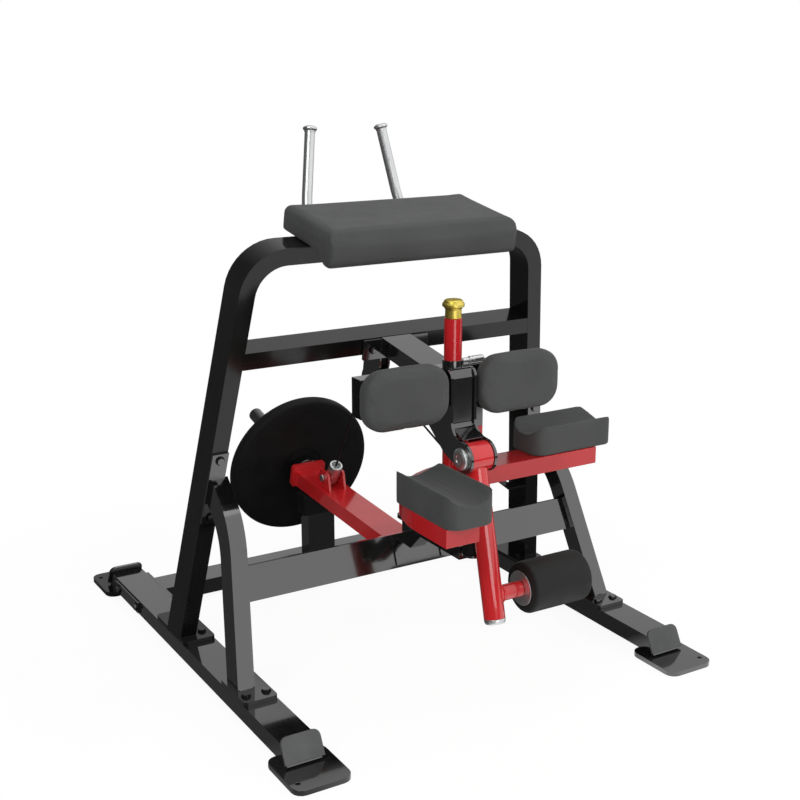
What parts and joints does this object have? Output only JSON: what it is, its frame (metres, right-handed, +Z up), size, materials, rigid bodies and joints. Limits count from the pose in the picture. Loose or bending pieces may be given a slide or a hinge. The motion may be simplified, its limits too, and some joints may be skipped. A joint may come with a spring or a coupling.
{
  "type": "standing hamstring machine",
  "caption": "Plate-loaded standing leg curl: leaning hoop frame, chest and thigh pads, knee troughs on a sliding red platform, swinging ankle-roller arm driving a rear weight lever by cable",
  "frame": {"origin": "on the floor under the middle of the machine's outer box", "axes": "+X to the user's right, +Y the way the user faces, towards the weight horn, +Z up"},
  "size_m": [1.387, 1.7672, 1.5576],
  "materials": {
    "frame_paint": "gloss black powder coat",
    "red_paint": "gloss red powder coat",
    "grey_paint": "satin grey",
    "upholstery": "matte charcoal vinyl upholstery",
    "board": "black-covered board",
    "foam": "closed-cell foam",
    "rubber": "matte black",
    "pulley_plastic": "satin nylon",
    "cable": "coated wire rope",
    "chrome": "polished",
    "steel": "zinc plated",
    "gold": "satin gold"
  },
  "bodies": {
    "frame": {"rail_right": "frame_paint", "rail_left": "frame_paint", "rail_end_front_left": "grey_paint", "rail_end_front_right": "grey_paint", "rail_end_rear_left": "frame_paint", "rail_end_rear_right": "frame_paint", "foot_front_left": "frame_paint", "foot_front_right": "frame_paint", "foot_rear_left": "frame_paint", "foot_rear_right": "frame_paint", "rear_beam": "frame_paint", "rear_backing_left": "frame_paint", "rear_backing_right": "frame_paint", "bumper": "rubber", "hoop": "frame_paint", "brace_right": "frame_paint", "brace_left": "frame_paint", "lower_beam": "frame_paint", "stop_strut": "frame_paint", "stop_rubber": "rubber", "upper_beam": "frame_paint", "forward_strut": "frame_paint", "cheek_left": "frame_paint", "cheek_right": "frame_paint", "hub_cover": "frame_paint", "thigh_bar_right": "frame_paint", "thigh_bar_left": "frame_paint", "thigh_board_left": "board", "thigh_board_right": "board", "thigh_pad_left": "upholstery", "thigh_pad_right": "upholstery", "chest_board": "board", "chest_pad": "upholstery", "hand_grip_right": "chrome", "hand_grip_left": "chrome", "hub_axle": "steel", "pulley_bracket": "frame_paint", "cable_run": "cable", "cable_drop": "cable", "post_guide": "frame_paint"},
    "arm": {"swing_arm": "red_paint", "arm_end_cap": "steel", "roller_retainer": "steel", "drum_cable": "cable"},
    "roller": {"roller_foam": "foam", "roller_core": "steel"},
    "lever": {"weight_lever": "red_paint", "lever_shaft": "steel", "cable_socket": "steel", "plate_stop_disc": "rubber", "weight_horn": "frame_paint"},
    "pulley_wheel": {"pulley": "pulley_plastic"},
    "platform": {"knee_platform": "red_paint", "lift_post": "red_paint", "post_cap": "gold", "knee_pad_left": "upholstery", "knee_pad_right": "upholstery"},
    "pin": {"pull_pin": "chrome"}
  },
  "joints": [
    {"name": "arm_swing", "type": "hinge", "parent": "frame", "child": "arm", "pos_m": [0, -0.57159, 0.695], "axis": [-1, 0, 0], "range_deg": [0, 110]},
    {"name": "roller_spin", "type": "hinge", "parent": "arm", "child": "roller", "pos_m": [0, -0.66282, 0.31788], "axis": [1, 0, 0], "continuous": true},
    {"name": "lever_lift", "type": "hinge", "parent": "frame", "child": "lever", "pos_m": [0, -0.15859, 0.306], "axis": [1, 0, 0], "range_deg": [0, 12.1], "deforming": ["cable_drop"]},
    {"name": "pulley_spin", "type": "hinge", "parent": "frame", "child": "pulley_wheel", "pos_m": [-0.028, -0.05105, 0.80093], "axis": [1, 0, 0], "range_deg": [0, 116]},
    {"name": "platform_height", "type": "slide", "parent": "frame", "child": "platform", "axis": [0, 0, 1], "range_m": [-0.1, 0]},
    {"name": "pull_pin_slide", "type": "slide", "parent": "frame", "child": "pin", "axis": [1, 0, 0], "range_m": [0, 0.012], "stiffness_N_per_m": 400, "springref_m": -0.004}
  ],
  "couplings": [
    {"joint": "lever_lift", "follows": "arm_swing", "ratio": 0.1097},
    {"joint": "pulley_spin", "follows": "arm_swing", "ratio": 1.0465}
  ]
}
